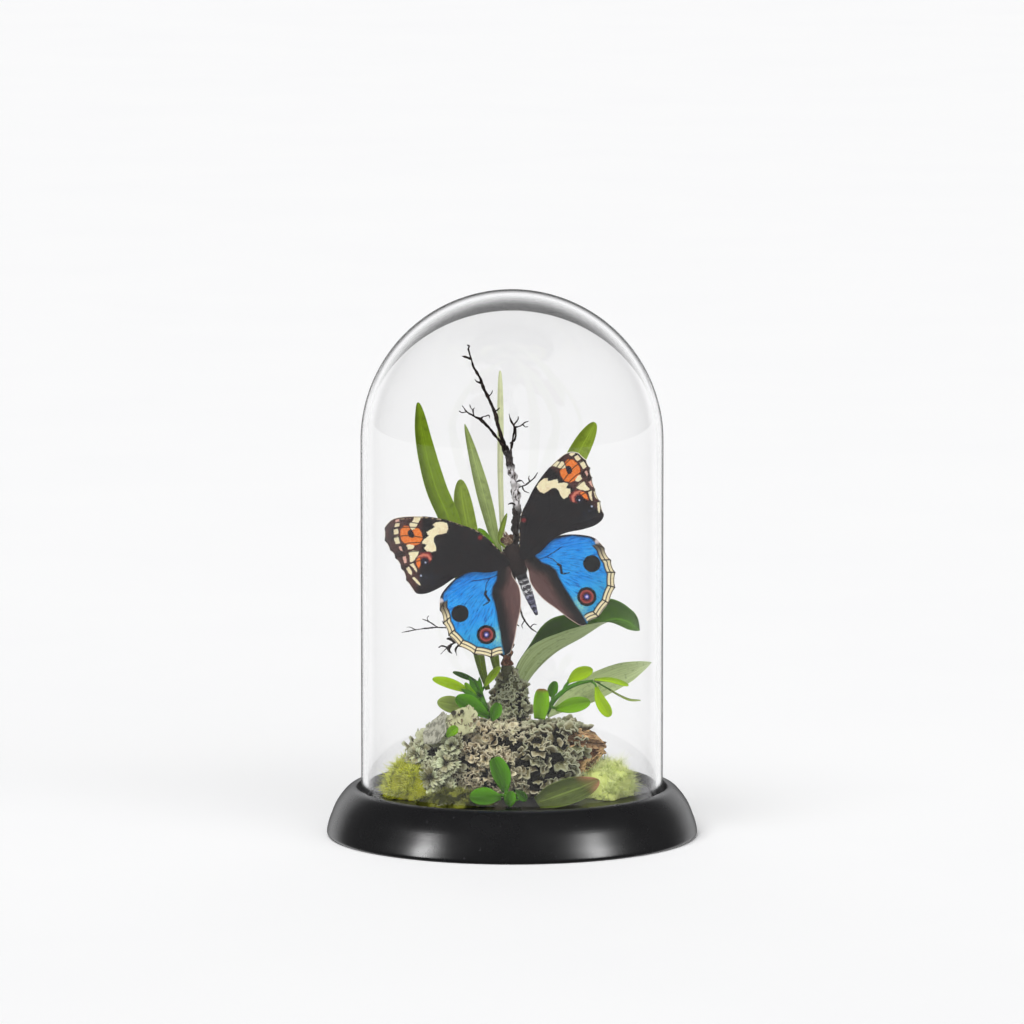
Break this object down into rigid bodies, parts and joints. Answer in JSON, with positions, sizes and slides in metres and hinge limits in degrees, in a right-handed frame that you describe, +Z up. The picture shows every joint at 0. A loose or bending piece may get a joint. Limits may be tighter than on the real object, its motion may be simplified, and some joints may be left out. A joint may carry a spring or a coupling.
{
  "type": "butterfly in glass dome",
  "caption": "Spread blue and black butterfly on a forked twig over a lichen-covered log with moss and leafy sprigs, under a round-topped clear glass dome on a turned black base.",
  "frame": {"origin": "centre of the flat underside of the black base", "axes": "+Z up through the dome's round top, -Y towards the front, which the butterfly's back faces, +X to the right of someone looking at it"},
  "size_m": [0.09, 0.09, 0.1328],
  "materials": {
    "black_lacquer": "satin black lacquer on turned wood",
    "clear_glass": "clear polished thin glass",
    "bark": "rough brown dead wood",
    "twig": "dark dry bark with grey patches",
    "lichen": "matt crinkled sage and cream lichen",
    "moss": "matt lime and olive moss",
    "leaf": "smooth semi-gloss leaf",
    "butterfly_body": "dark brown furry body",
    "wing": "fine-scaled wing membrane"
  },
  "bodies": {
    "root": {"bark_log": "bark", "base": "black_lacquer", "bud_leaf": "leaf", "butterfly_body": "butterfly_body", "fallen_leaf": "leaf", "folded_leaf": "leaf", "forewing_left": "wing", "forewing_right": "wing", "front_sprig_dark_leaf": "leaf", "front_sprig_left_leaf": "leaf", "front_sprig_round_leaf": "leaf", "front_sprig_stem": "leaf", "front_sprig_upright_leaf": "leaf", "glass_dome": "clear_glass", "hindwing_left": "wing", "hindwing_right": "wing", "left_sprig_dark_leaf": "leaf", "left_sprig_front_leaf": "leaf", "left_sprig_high_leaf": "leaf", "left_sprig_inner_leaf": "leaf", "left_sprig_low_leaf": "leaf", "left_sprig_narrow_leaf": "leaf", "left_sprig_outer_leaf": "leaf", "left_sprig_stem": "leaf", "lichen_crust": "lichen", "lichen_lobe": "lichen", "lichen_sheet": "lichen", "lichen_stump": "lichen", "moss_front": "moss", "moss_left": "moss", "moss_right": "moss", "pale_leaf": "leaf", "right_sprig_curl": "leaf", "right_sprig_dark_leaf": "leaf", "right_sprig_hanging_leaf": "leaf", "right_sprig_level_leaf": "leaf", "right_sprig_low_leaf": "leaf", "right_sprig_stem": "leaf", "right_sprig_top_leaf": "leaf", "right_sprig_upright_leaf": "leaf", "round_leaf": "leaf", "short_leaf": "leaf", "side_leaf": "leaf", "slim_leaf": "leaf", "tall_leaf": "leaf", "tiny_leaf": "leaf", "top_leaf": "leaf", "tucked_leaf": "leaf", "twig_leader": "twig", "twig_left_fork": "twig", "twig_low_left": "twig", "twig_low_left_tuft": "twig", "twig_low_right": "twig", "twig_right_fork": "twig", "twig_right_spur": "twig", "twig_trunk": "twig"}
  },
  "joints": []
}
